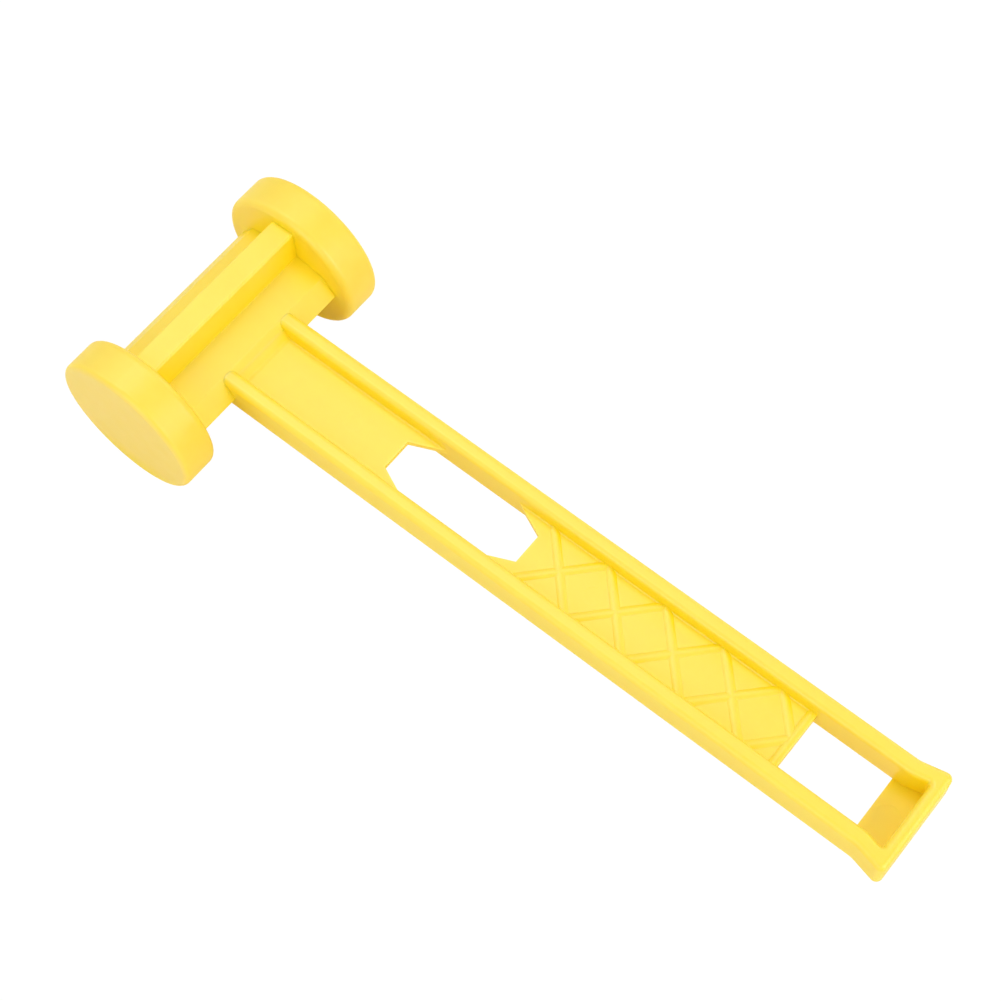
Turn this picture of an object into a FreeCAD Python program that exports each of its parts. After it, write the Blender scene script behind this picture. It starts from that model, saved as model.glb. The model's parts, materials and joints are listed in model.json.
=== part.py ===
import FreeCAD, Part
import math
import os

# A one-hand moulded plastic mallet with two flat striking pucks, in millimetres.
# Working axes while a piece is made: the head's centre is the origin, +X runs along the
# handle to its end, +Y is a striking direction and +Z is normal to the handle's web.

# striking pucks
PUCK_RADIUS = 23.5
PUCK_THICKNESS = 12.4
PUCK_FACE_ROUND = 1.8
PUCK_BACK_ROUND = 2.2
HEAD_LENGTH = 82.6

# head core: a tall rib crossing a six-sided bar, both running from puck to puck
RIB_HALF_WIDTH = 3.95
RIB_FOOT_HALF_WIDTH = 4.05
RIB_HALF_HEIGHT = 19.1
BAR_FOOT_HEIGHT = 8.2
BAR_EDGE_X = 13.6
BAR_EDGE_HEIGHT = 6.0
BAR_RIDGE_X = 18.1
RIB_ROUND = 0.8
BAR_ROUND = 0.6

# cross-shaped spigot at each end of the core, in a socket in the puck's back
SPIGOT_LENGTH = 7.0
SPIGOT_RIB_HALF_WIDTH = 2.8
SPIGOT_RIB_HALF_HEIGHT = 16.5
SPIGOT_BAR_HALF_WIDTH = 13.0
SPIGOT_BAR_HALF_HEIGHT = 4.2
SPIGOT_LEAD_IN = 0.6
SOCKET_END_GAP = 0.5

# handle: two rails joined by a thin web
HANDLE_END_X = 240.0
RAIL_OUTER_Y = 14.65
RAIL_THICKNESS = 5.0
RAIL_HALF_HEIGHT = 6.0
RAIL_ROUND = 1.7
WEB_HALF_THICKNESS = 0.9
WEB_FILLET = 0.6
ROOT_FILLET = 1.5

# handle's tenon in the core's mortise
TENON_HALF_WIDTH = 12.0
TENON_HALF_HEIGHT = 3.6
TENON_TIP_X = 6.0
TENON_LEAD_IN = 0.6
MORTISE_END_GAP = 0.5

# eight-sided opening in the web
OCTAGON_START_X = 65.5
OCTAGON_END_X = 112.3
OCTAGON_FLAT_HALF = 5.0
OCTAGON_CHAMFER_X = 10.4

# diamond lattice of low ribs between the two openings, on both faces of the web
LATTICE_START_X = 113.8
LATTICE_PITCH = 19.28
LATTICE_CELLS = 5
LATTICE_NODE_Y = 10.1
LATTICE_RIB_WIDTH = 2.8
LATTICE_RIB_HEIGHT = 0.45
CROSS_RIB_X = 200.8
CROSS_RIB_WIDTH = 3.0
CROSS_RIB_HEIGHT = 0.65

# rectangular opening, end pocket with a floor, and flared end
WINDOW_START_X = 202.0
WINDOW_END_X = 226.8
POCKET_FLOOR_THICKNESS = 1.6
END_WALL_THICKNESS = 4.0
FLARE_START_X = 230.5
FLARE_SLOPE_DEG = 13.0
FLARE_BEND_ROUND = 9.0
FLARE_CORNER_ROUND = 1.9
POCKET_CORNER_ROUND = 0.8

# shallow round marks of the mould's ejector pins
MARK_DEPTH = 0.06
WEB_MARK_XS = (49.5, 134.7, 192.8)
WEB_MARK_RADIUS = 2.5
POCKET_MARK_X = 231.8
POCKET_MARK_RADIUS = 3.5

# where the working origin stands in the part's own frame
OVERALL_LENGTH = PUCK_RADIUS + HANDLE_END_X
HEAD_X = PUCK_RADIUS - OVERALL_LENGTH / 2
MID_HEIGHT = PUCK_RADIUS

CORE_HALF_LENGTH = HEAD_LENGTH / 2 - PUCK_THICKNESS
RAIL_INNER_Y = RAIL_OUTER_Y - RAIL_THICKNESS
END_WALL_X = HANDLE_END_X - END_WALL_THICKNESS
FLARE_SLOPE = math.tan(math.radians(FLARE_SLOPE_DEG))
OVERRUN = 2.0
TINY = 1e-4


def box(x0, x1, y0, y1, z0, z1):
    """A plain block between two corners."""
    return Part.makeBox(x1 - x0, y1 - y0, z1 - z0, FreeCAD.Vector(x0, y0, z0))


def centred_box(x0, x1, half_y, half_z):
    """A block between two x stations, centred on the X axis."""
    return box(x0, x1, -half_y, half_y, -half_z, half_z)


def rounded_face(corners):
    """A flat face whose corners are (point, radius); each radius is a tangent arc."""
    starts = []
    finishes = []
    edges = []
    count = len(corners)
    for index, (point, radius) in enumerate(corners):
        to_before = (corners[index - 1][0] - point).normalize()
        to_after = (corners[(index + 1) % count][0] - point).normalize()
        half_angle = to_before.getAngle(to_after) / 2
        setback = radius / math.tan(half_angle)
        start = point + to_before * setback
        finish = point + to_after * setback
        starts.append(start)
        finishes.append(finish)
        if radius > 0:
            bisector = (to_before + to_after).normalize()
            middle = point + bisector * (radius / math.sin(half_angle) - radius)
            edges.append(Part.Arc(start, middle, finish).toShape())
    for index in range(count):
        edges.append(Part.LineSegment(finishes[index], starts[(index + 1) % count]).toShape())
    return Part.Face(Part.Wire(Part.__sortEdges__(edges)))


def prism_along_y(outline, y0, y1):
    """Extrude an outline of (x, z, radius) corners from y0 to y1."""
    face = rounded_face([(FreeCAD.Vector(x, y0, z), radius) for x, z, radius in outline])
    return face.extrude(FreeCAD.Vector(0, y1 - y0, 0))


def prism_along_z(outline, z0, z1):
    """Extrude an outline of (x, y, radius) corners from z0 to z1."""
    face = rounded_face([(FreeCAD.Vector(x, y, z0), radius) for x, y, radius in outline])
    return face.extrude(FreeCAD.Vector(0, 0, z1 - z0))


def mirrored(outline):
    """Add the other half, below the first axis, of an outline that is symmetric about it."""
    return outline + [(a, -b, radius) for a, b, radius in reversed(outline) if b != 0]


def edges_on_level(shape, axis, level):
    """The edges that lie wholly on one level of X, Y or Z."""
    low = axis + "Min"
    high = axis + "Max"
    found = []
    for edge in shape.Edges:
        bounds = edge.BoundBox
        if abs(getattr(bounds, low) - level) < TINY and abs(getattr(bounds, high) - level) < TINY:
            found.append(edge)
    return found


def round_level(shape, axis, level, radius):
    """Fillet every edge on one level."""
    return shape.makeFillet(radius, edges_on_level(shape, axis, level))


def core_outline(rib_round, bar_round):
    """The core's section: a rib standing on both sides of a bar with sloping faces."""
    upper = [
        (BAR_RIDGE_X, 0, bar_round),
        (BAR_EDGE_X, BAR_EDGE_HEIGHT, bar_round),
        (RIB_FOOT_HALF_WIDTH, BAR_FOOT_HEIGHT, 0),
        (RIB_HALF_WIDTH, RIB_HALF_HEIGHT, rib_round),
        (-RIB_HALF_WIDTH, RIB_HALF_HEIGHT, rib_round),
        (-RIB_FOOT_HALF_WIDTH, BAR_FOOT_HEIGHT, 0),
        (-BAR_EDGE_X, BAR_EDGE_HEIGHT, bar_round),
        (-BAR_RIDGE_X, 0, bar_round),
    ]
    return mirrored(upper)


def cross(y0, y1):
    """The crossed blocks of a spigot or of the socket that holds it."""
    rib = box(-SPIGOT_RIB_HALF_WIDTH, SPIGOT_RIB_HALF_WIDTH, y0, y1,
              -SPIGOT_RIB_HALF_HEIGHT, SPIGOT_RIB_HALF_HEIGHT)
    bar = box(-SPIGOT_BAR_HALF_WIDTH, SPIGOT_BAR_HALF_WIDTH, y0, y1,
              -SPIGOT_BAR_HALF_HEIGHT, SPIGOT_BAR_HALF_HEIGHT)
    return rib.fuse(bar).removeSplitter()


def make_left_puck():
    """The +Y puck: a short round block with a cross-shaped socket in its back."""
    face_y = HEAD_LENGTH / 2
    puck = Part.makeCylinder(PUCK_RADIUS, PUCK_THICKNESS, FreeCAD.Vector(0, CORE_HALF_LENGTH, 0),
                             FreeCAD.Vector(0, 1, 0))
    puck = round_level(puck, "Y", face_y, PUCK_FACE_ROUND)
    puck = round_level(puck, "Y", CORE_HALF_LENGTH, PUCK_BACK_ROUND)
    socket_end = CORE_HALF_LENGTH + SPIGOT_LENGTH + SOCKET_END_GAP
    return puck.cut(cross(CORE_HALF_LENGTH - OVERRUN, socket_end))


def make_right_puck():
    """The -Y puck, the same moulding turned round."""
    return make_left_puck().mirror(FreeCAD.Vector(0, 0, 0), FreeCAD.Vector(0, 1, 0))


def make_core():
    """The rib and bar from puck to puck, a spigot at each end, and the handle's mortise."""
    body = prism_along_y(core_outline(RIB_ROUND, BAR_ROUND), -CORE_HALF_LENGTH, CORE_HALF_LENGTH)
    spigot_end = CORE_HALF_LENGTH + SPIGOT_LENGTH
    spigots = cross(-spigot_end, spigot_end)
    tips = edges_on_level(spigots, "Y", spigot_end) + edges_on_level(spigots, "Y", -spigot_end)
    spigots = spigots.makeChamfer(SPIGOT_LEAD_IN, tips)
    mortise = centred_box(TENON_TIP_X - MORTISE_END_GAP, BAR_RIDGE_X + OVERRUN,
                          TENON_HALF_WIDTH, TENON_HALF_HEIGHT)
    return body.fuse(spigots).cut(mortise).removeSplitter()


def handle_plan():
    """The handle's outline seen along Z: straight sides and a flared end."""
    tip_y = RAIL_OUTER_Y + (HANDLE_END_X - FLARE_START_X) * FLARE_SLOPE
    return mirrored([
        (0, RAIL_OUTER_Y, 0),
        (FLARE_START_X, RAIL_OUTER_Y, FLARE_BEND_ROUND),
        (HANDLE_END_X, tip_y, FLARE_CORNER_ROUND),
    ])


def channel_plan(start_x, growth):
    """The space between the rails from start_x to the end wall, seen along Z and grown."""
    end_y = RAIL_INNER_Y + (END_WALL_X - FLARE_START_X) * FLARE_SLOPE
    return mirrored([
        (start_x, RAIL_INNER_Y + growth, 0),
        (FLARE_START_X, RAIL_INNER_Y + growth, FLARE_BEND_ROUND),
        (END_WALL_X + growth, end_y + growth, POCKET_CORNER_ROUND + growth),
    ])


def rails_and_wall():
    """Two rails joined by the end wall, with every upper and lower rim rounded."""
    rim = RAIL_HALF_HEIGHT
    space = prism_along_z(channel_plan(-OVERRUN, 0), -rim - OVERRUN, rim + OVERRUN)
    body = prism_along_z(handle_plan(), -rim, rim).cut(space)
    rims = edges_on_level(body, "Z", rim) + edges_on_level(body, "Z", -rim)
    return body.makeFillet(RAIL_ROUND, [edge for edge in rims if edge.BoundBox.XMax > TINY])


def pocket_floor():
    """The end pocket's floor, flush with the undersides of the rails that it is moulded to."""
    plan = channel_plan(WINDOW_END_X, RAIL_ROUND)
    return prism_along_z(plan, -RAIL_HALF_HEIGHT, POCKET_FLOOR_THICKNESS - RAIL_HALF_HEIGHT)


def rails_and_web():
    """The rails with the web and the end pocket's floor between them."""
    web = centred_box(0, WINDOW_START_X, RAIL_INNER_Y, WEB_HALF_THICKNESS)
    body = rails_and_wall().fuse(web).fuse(pocket_floor())
    feet = []
    for side in (-RAIL_INNER_Y, RAIL_INNER_Y):
        for edge in edges_on_level(body, "Y", side):
            if abs(edge.BoundBox.ZMax - edge.BoundBox.ZMin) < TINY:
                if abs(abs(edge.BoundBox.ZMax) - WEB_HALF_THICKNESS) < TINY:
                    feet.append(edge)
    return body.makeFillet(WEB_FILLET, feet)


def octagon_opening():
    """The long eight-sided opening, as wide as the channel."""
    plan = mirrored([
        (OCTAGON_START_X, OCTAGON_FLAT_HALF, 0),
        (OCTAGON_START_X + OCTAGON_CHAMFER_X, RAIL_INNER_Y, 0),
        (OCTAGON_END_X - OCTAGON_CHAMFER_X, RAIL_INNER_Y, 0),
        (OCTAGON_END_X, OCTAGON_FLAT_HALF, 0),
    ])
    return prism_along_z(plan, -RAIL_HALF_HEIGHT, RAIL_HALF_HEIGHT)


def round_bar(x0, y0, x1, y1, width, height):
    """One low round-topped rib on the web's upper face, from (x0, y0) to (x1, y1)."""
    radius = (width ** 2 / 4 + height ** 2) / (2 * height)
    start = FreeCAD.Vector(x0, y0, WEB_HALF_THICKNESS + height - radius)
    along = FreeCAD.Vector(x1 - x0, y1 - y0, 0)
    return Part.makeCylinder(radius, along.Length, start, along)


def ribs():
    """Crossing diagonals from rail to rail and a rib along the window, on both faces of the web."""
    bars = []
    for cell in range(LATTICE_CELLS):
        x0 = LATTICE_START_X + cell * LATTICE_PITCH
        x1 = x0 + LATTICE_PITCH
        for y0 in (LATTICE_NODE_Y, -LATTICE_NODE_Y):
            bars.append(round_bar(x0, y0, x1, -y0, LATTICE_RIB_WIDTH, LATTICE_RIB_HEIGHT))
    bars.append(round_bar(CROSS_RIB_X, -RAIL_OUTER_Y, CROSS_RIB_X, RAIL_OUTER_Y,
                          CROSS_RIB_WIDTH, CROSS_RIB_HEIGHT))
    room = box(LATTICE_START_X, WINDOW_START_X, -RAIL_INNER_Y, RAIL_INNER_Y, 0, RAIL_HALF_HEIGHT)
    upper = bars[0].multiFuse(bars[1:]).common(room)
    return upper.fuse(upper.mirror(FreeCAD.Vector(0, 0, 0), FreeCAD.Vector(0, 0, 1)))


def root_strip():
    """The concave fillets between the web and the bar's two sloping faces."""
    slope = math.atan2(BAR_EDGE_HEIGHT, BAR_RIDGE_X - BAR_EDGE_X)
    half_angle = (math.pi - slope) / 2
    setback = ROOT_FILLET / math.tan(half_angle)
    foot_x = BAR_RIDGE_X - WEB_HALF_THICKNESS / math.tan(slope)
    upper = [
        (BAR_RIDGE_X, 0, 0),
        (foot_x + setback, WEB_HALF_THICKNESS, 0),
        (foot_x - setback * math.cos(slope), WEB_HALF_THICKNESS + setback * math.sin(slope), 0),
    ]
    centre = FreeCAD.Vector(foot_x + setback, -RAIL_INNER_Y, WEB_HALF_THICKNESS + ROOT_FILLET)
    hollow = Part.makeCylinder(ROOT_FILLET, 2 * RAIL_INNER_Y, centre, FreeCAD.Vector(0, 1, 0))
    strip = prism_along_y(upper, -RAIL_INNER_Y, RAIL_INNER_Y).cut(hollow)
    return strip.fuse(strip.mirror(FreeCAD.Vector(0, 0, 0), FreeCAD.Vector(0, 0, 1)))


def mark(x, radius, face_z):
    """A shallow round mark of an ejector pin, sunk in a face that looks upwards."""
    return Part.makeCylinder(radius, MARK_DEPTH + OVERRUN, FreeCAD.Vector(x, 0, face_z - MARK_DEPTH))


def make_handle():
    """Rails, web, openings, lattice, end pocket and the tenon that enters the core."""
    body = rails_and_web().multiFuse([ribs(), root_strip()]).cut(octagon_opening())
    for x in WEB_MARK_XS:
        body = body.cut(mark(x, WEB_MARK_RADIUS, WEB_HALF_THICKNESS))
    body = body.cut(mark(POCKET_MARK_X, POCKET_MARK_RADIUS, POCKET_FLOOR_THICKNESS - RAIL_HALF_HEIGHT))
    core = prism_along_y(core_outline(RIB_ROUND, BAR_ROUND), -CORE_HALF_LENGTH, CORE_HALF_LENGTH)
    tenon = centred_box(TENON_TIP_X, BAR_RIDGE_X + OVERRUN, TENON_HALF_WIDTH, TENON_HALF_HEIGHT)
    tenon = tenon.makeChamfer(TENON_LEAD_IN, edges_on_level(tenon, "X", TENON_TIP_X)).common(core)
    return body.cut(core).fuse(tenon).removeSplitter()


def place(shape):
    """Move a piece from the working axes to the part's frame."""
    moved = shape.copy()
    moved.translate(FreeCAD.Vector(HEAD_X, 0, MID_HEIGHT))
    return moved


PIECES = {
    "left_striking_puck": make_left_puck,
    "right_striking_puck": make_right_puck,
    "head_core": make_core,
    "handle": make_handle,
}

os.makedirs("parts", exist_ok=True)
for name, make in PIECES.items():
    piece = place(make())
    print(name, "valid", piece.isValid(), "solids", len(piece.Solids), "volume", round(piece.Volume))
    piece.exportStep("parts/" + name + ".step")
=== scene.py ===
import bpy
import json
import math
from mathutils import Matrix, Vector

# camera, in metres and degrees
CAMERA_POSITION = (0.15834, -0.19466, 0.55422)
CAMERA_TARGET = (-0.01118, 0.00723, 0.0235)
CAMERA_ROLL_DEG = 1.31
CAMERA_LENS = 76.98
SENSOR_WIDTH = 36.0

# white backdrop that the camera sees, and the matt table top that the light falls on
FLOOR_SIZE = 40.0
FLOOR_DROP = 0.0002
TABLE_DROP = 0.0004
TABLE_COLOUR = (0.90, 0.83, 0.68, 1.0)
FLOOR_COLOUR = (0.0, 0.0, 0.0, 1.0)
GROUND_ROUGHNESS = 0.9
SKY_STRENGTH = 0.565

# soft square lights around the object: azimuth and elevation in degrees, size in metres, watts
LIGHT_DISTANCE = 1.4
LIGHTS = {
    "handle_end": (0, 30, 1.0, 7.9),
    "left": (90, 30, 1.0, 2.85),
    "head_end": (180, 30, 1.0, 1.9),
    "right": (270, 30, 1.0, 4.7),
    "high_head_end": (180, 60, 1.0, 2.2),
    "key": (120, 70, 0.5, 1.2),
    "second_key": (165, 65, 0.5, 1.5),
}

# moulded plastic: colours are linear, lengths in metres
SHADES = {
    "body_plastic": {
        # painted shade in corners and recesses
        "painted_recess_shade": (0.98, 0.745, 0.004, 1.0),
        "deep": (0.98, 0.705, 0.042, 1.0),
        "pale": (0.98, 0.725, 0.056, 1.0),
        # painted highlight along sharp edges
        "edge": (0.98, 0.77, 0.11, 1.0),
        "roughness": (0.33, 0.40),
    },
    "puck_plastic": {
        # painted shade in corners and recesses
        "painted_recess_shade": (0.98, 0.745, 0.004, 1.0),
        "deep": (0.96, 0.685, 0.042, 1.0),
        "pale": (0.96, 0.705, 0.060, 1.0),
        # painted highlight along sharp edges
        "edge": (0.96, 0.75, 0.10, 1.0),
        # painted shade and reflection on the striking faces
        "face": (0.90, 0.680, 0.120, 1.0),
        "roughness": (0.38, 0.46),
    },
}
REFRACTION = 1.49
SPECULAR_LEVEL = 0.85
SCATTER_WEIGHT = 0.6
SCATTER_SCALE = 0.0008
SCATTER_RADIUS = (1.0, 0.8, 0.25)

# painted highlight, a paler colour along edges: the bevel's reach, and how far its normal leans
# off the surface's own (cosine)
EDGE_RADIUS = 0.0012
EDGE_SAMPLES = 6
FLAT_COSINE = 1.0
EDGE_COSINE = 0.9

# painted shade in recesses, a deeper and more orange colour in corners and creases: how far
# shelter is looked for, and the open shares that count
RECESS_REACH = 0.012
RECESS_SAMPLES = 8
SHELTERED_SHARE = 0.5
OPEN_SHARE = 1.0

# cloudy colour and uneven gloss: cell sizes, noise detail and the noise values that are spread out
MOTTLE_SIZE = 0.006
MOTTLE_DETAIL = 3.0
MOTTLE_RANGE = (0.3, 0.7)
FLOW_SIZE = 0.022
FLOW_DETAIL = 2.0
FLOW_STRETCH = (2.5, 0.5, 0.5)
CLOUD_RANGE = (0.75, 1.25)

# painted shade and reflection, a duller and greyer colour on the striking faces: how far from the
# head's middle they begin, along Y
FACE_FADE_START = 0.0404
FACE_FADE_END = 0.0412

# surface bumps
GRAIN_SIZE = 0.00045
GRAIN_DEPTH = 0.000015
GRAIN_DETAIL = 2.0
WAVE_SIZE = 0.012
WAVE_DEPTH = 0.00004
WAVE_DETAIL = 1.0


def add_camera():
    """A camera at CAMERA_POSITION looking at CAMERA_TARGET, turned a little about its own axis."""
    data = bpy.data.cameras.new("camera")
    data.lens = CAMERA_LENS
    data.sensor_width = SENSOR_WIDTH
    data.clip_start = 0.01
    camera = bpy.data.objects.new("camera", data)
    position = Vector(CAMERA_POSITION)
    gaze = Vector(CAMERA_TARGET) - position
    turn = gaze.to_track_quat("-Z", "Y").to_matrix().to_4x4()
    roll = Matrix.Rotation(math.radians(-CAMERA_ROLL_DEG), 4, "Z")
    camera.matrix_world = Matrix.Translation(position) @ turn @ roll
    bpy.context.scene.collection.objects.link(camera)
    bpy.context.scene.camera = camera


def add_light(name, azimuth, elevation, size, power):
    """A soft square light that looks at the object from LIGHT_DISTANCE."""
    data = bpy.data.lights.new(name, "AREA")
    data.shape = "SQUARE"
    data.size = size
    data.energy = power
    light = bpy.data.objects.new(name, data)
    turn = math.radians(azimuth)
    rise = math.radians(elevation)
    level = math.cos(rise)
    direction = Vector((level * math.cos(turn), level * math.sin(turn), math.sin(rise)))
    light.location = LIGHT_DISTANCE * direction
    light.rotation_euler = direction.to_track_quat("Z", "Y").to_euler()
    bpy.context.scene.collection.objects.link(light)


def add_sky():
    """Even white light from all sides, as in a light tent."""
    world = bpy.data.worlds.new("sky")
    world.use_nodes = True
    background = world.node_tree.nodes["Background"]
    background.inputs["Color"].default_value = (1.0, 1.0, 1.0, 1.0)
    background.inputs["Strength"].default_value = SKY_STRENGTH
    bpy.context.scene.world = world


def add_ground(name, height, colour, glow):
    """A wide level square that is part of the stage."""
    half = FLOOR_SIZE / 2
    mesh = bpy.data.meshes.new(name)
    corners = [(-half, -half, 0), (half, -half, 0), (half, half, 0), (-half, half, 0)]
    mesh.from_pydata(corners, [], [(0, 1, 2, 3)])
    ground = bpy.data.objects.new(name, mesh)
    ground.location.z = height
    bpy.context.scene.collection.objects.link(ground)
    material = bpy.data.materials.new(name)
    material.use_nodes = True
    shader = material.node_tree.nodes["Principled BSDF"]
    shader.inputs["Base Color"].default_value = colour
    shader.inputs["Roughness"].default_value = GROUND_ROUGHNESS
    shader.inputs["Emission Color"].default_value = (1.0, 1.0, 1.0, 1.0)
    shader.inputs["Emission Strength"].default_value = glow
    mesh.materials.append(material)
    return ground


def add_floor():
    """A shadowless white floor for the camera, and a matt table that throws light back up."""
    floor = add_ground("floor", -FLOOR_DROP, FLOOR_COLOUR, 1.0)
    floor.visible_diffuse = False
    floor.visible_glossy = False
    floor.visible_transmission = False
    floor.visible_shadow = False
    table = add_ground("table", -TABLE_DROP, TABLE_COLOUR, 0.0)
    table.visible_camera = False


def add_noise(tree, size, detail, stretch=(1.0, 1.0, 1.0)):
    """Noise fixed to the object, whose cells measure size before they are stretched."""
    place = tree.nodes.new("ShaderNodeTexCoord")
    mapping = tree.nodes.new("ShaderNodeMapping")
    mapping.inputs["Scale"].default_value = [1.0 / factor for factor in stretch]
    noise = tree.nodes.new("ShaderNodeTexNoise")
    noise.inputs["Scale"].default_value = 1.0 / size
    noise.inputs["Detail"].default_value = detail
    tree.links.new(place.outputs["Object"], mapping.inputs["Vector"])
    tree.links.new(mapping.outputs["Vector"], noise.inputs["Vector"])
    return noise.outputs["Fac"]


def add_math(tree, operation, first, second):
    """A math node fed by sockets or numbers."""
    node = tree.nodes.new("ShaderNodeMath")
    node.operation = operation
    for socket, value in zip(node.inputs, (first, second)):
        if isinstance(value, float):
            socket.default_value = value
        else:
            tree.links.new(value, socket)
    return node.outputs[0]


def add_range(tree, value, from_low, from_high, to_low, to_high):
    """Stretch one range of a value on another."""
    node = tree.nodes.new("ShaderNodeMapRange")
    node.inputs["From Min"].default_value = from_low
    node.inputs["From Max"].default_value = from_high
    node.inputs["To Min"].default_value = to_low
    node.inputs["To Max"].default_value = to_high
    tree.links.new(value, node.inputs["Value"])
    return node.outputs["Result"]


def add_mix(tree, share, low, high):
    """Mix two colours, each a socket or four numbers."""
    node = tree.nodes.new("ShaderNodeMix")
    node.data_type = "RGBA"
    tree.links.new(share, node.inputs["Factor"])
    for socket, colour in ((node.inputs[6], low), (node.inputs[7], high)):
        if isinstance(colour, tuple):
            socket.default_value = colour
        else:
            tree.links.new(colour, socket)
    return node.outputs[2]


def add_edge_mask(tree):
    """0 on flat stretches, rising to 1 where a surface turns sharply outwards or inwards."""
    bevel = tree.nodes.new("ShaderNodeBevel")
    bevel.samples = EDGE_SAMPLES
    bevel.inputs["Radius"].default_value = EDGE_RADIUS
    geometry = tree.nodes.new("ShaderNodeNewGeometry")
    dot = tree.nodes.new("ShaderNodeVectorMath")
    dot.operation = "DOT_PRODUCT"
    tree.links.new(bevel.outputs["Normal"], dot.inputs[0])
    tree.links.new(geometry.outputs["Normal"], dot.inputs[1])
    return add_range(tree, dot.outputs["Value"], FLAT_COSINE, EDGE_COSINE, 0.0, 1.0)


def add_openness(tree):
    """1 where a surface lies open, falling to 0 in corners and narrow recesses; it places the
    painted shade in recesses and keeps the painted edge highlight out of them.
    """
    shelter = tree.nodes.new("ShaderNodeAmbientOcclusion")
    shelter.samples = RECESS_SAMPLES
    shelter.inputs["Distance"].default_value = RECESS_REACH
    return add_range(tree, shelter.outputs["AO"], SHELTERED_SHARE, OPEN_SHARE, 0.0, 1.0)


def add_face_mask(tree):
    """1 on the two flat striking faces and 0 elsewhere, with a short fade across their edges."""
    place = tree.nodes.new("ShaderNodeTexCoord")
    parts = tree.nodes.new("ShaderNodeSeparateXYZ")
    tree.links.new(place.outputs["Object"], parts.inputs["Vector"])
    reach = add_math(tree, "ABSOLUTE", parts.outputs["Y"], 0.0)
    return add_range(tree, reach, FACE_FADE_START, FACE_FADE_END, 0.0, 1.0)


def add_bump(tree, height, depth, normal=None):
    """A bump of the given depth, laid over another bump's normal if one is given."""
    bump = tree.nodes.new("ShaderNodeBump")
    bump.inputs["Distance"].default_value = depth
    tree.links.new(height, bump.inputs["Height"])
    if normal is not None:
        tree.links.new(normal, bump.inputs["Normal"])
    return bump.outputs["Normal"]


def plastic(name, shades):
    """Satin moulded plastic: cloudy yellow, painted shade in recesses, painted highlights on
    edges, fine grain.
    """
    material = bpy.data.materials.new(name)
    material.use_nodes = True
    tree = material.node_tree
    shader = tree.nodes["Principled BSDF"]
    shader.inputs["IOR"].default_value = REFRACTION
    shader.inputs["Specular IOR Level"].default_value = SPECULAR_LEVEL
    shader.inputs["Subsurface Weight"].default_value = SCATTER_WEIGHT
    shader.inputs["Subsurface Radius"].default_value = SCATTER_RADIUS
    shader.inputs["Subsurface Scale"].default_value = SCATTER_SCALE

    mottle = add_noise(tree, MOTTLE_SIZE, MOTTLE_DETAIL)
    flow = add_noise(tree, FLOW_SIZE, FLOW_DETAIL, FLOW_STRETCH)
    cloud = add_range(tree, add_math(tree, "ADD", mottle, flow), *CLOUD_RANGE, 0.0, 1.0)
    openness = add_openness(tree)
    cloudy = add_mix(tree, cloud, shades["deep"], shades["pale"])
    # painted shade and reflection: the striking faces duller and greyer
    if "face" in shades:
        cloudy = add_mix(tree, add_face_mask(tree), cloudy, shades["face"])
    # painted shade: the colour turns deeper and more orange in corners and recesses, where less
    # light falls
    body = add_mix(tree, openness, shades["painted_recess_shade"], cloudy)
    # painted highlight: paler colour on sharp edges, kept out of recesses
    edge_share = add_math(tree, "MULTIPLY", add_edge_mask(tree), openness)
    tree.links.new(add_mix(tree, edge_share, body, shades["edge"]), shader.inputs["Base Color"])
    gloss = add_range(tree, mottle, *MOTTLE_RANGE, *shades["roughness"])
    tree.links.new(gloss, shader.inputs["Roughness"])

    wave = add_bump(tree, add_noise(tree, WAVE_SIZE, WAVE_DETAIL), WAVE_DEPTH)
    grain = add_bump(tree, add_noise(tree, GRAIN_SIZE, GRAIN_DETAIL), GRAIN_DEPTH, wave)
    tree.links.new(grain, shader.inputs["Normal"])
    return material


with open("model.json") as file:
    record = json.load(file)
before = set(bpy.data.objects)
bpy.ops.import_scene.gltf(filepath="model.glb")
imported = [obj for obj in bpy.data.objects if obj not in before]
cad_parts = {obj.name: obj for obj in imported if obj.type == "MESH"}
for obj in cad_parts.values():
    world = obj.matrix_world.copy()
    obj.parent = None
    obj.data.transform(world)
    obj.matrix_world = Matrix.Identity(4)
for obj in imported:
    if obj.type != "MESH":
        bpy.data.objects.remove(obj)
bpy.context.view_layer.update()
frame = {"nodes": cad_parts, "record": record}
bpy.context.scene.view_settings.view_transform = "Standard"

add_camera()
add_sky()
add_floor()
for light_name, settings in LIGHTS.items():
    add_light(light_name, *settings)

materials = {slot: plastic(slot, shades) for slot, shades in SHADES.items()}
for subpart in frame["record"]["subparts"]:
    for material_slot in frame["nodes"][subpart["node"]].material_slots:
        material_slot.material = materials[subpart["material_slot"]]
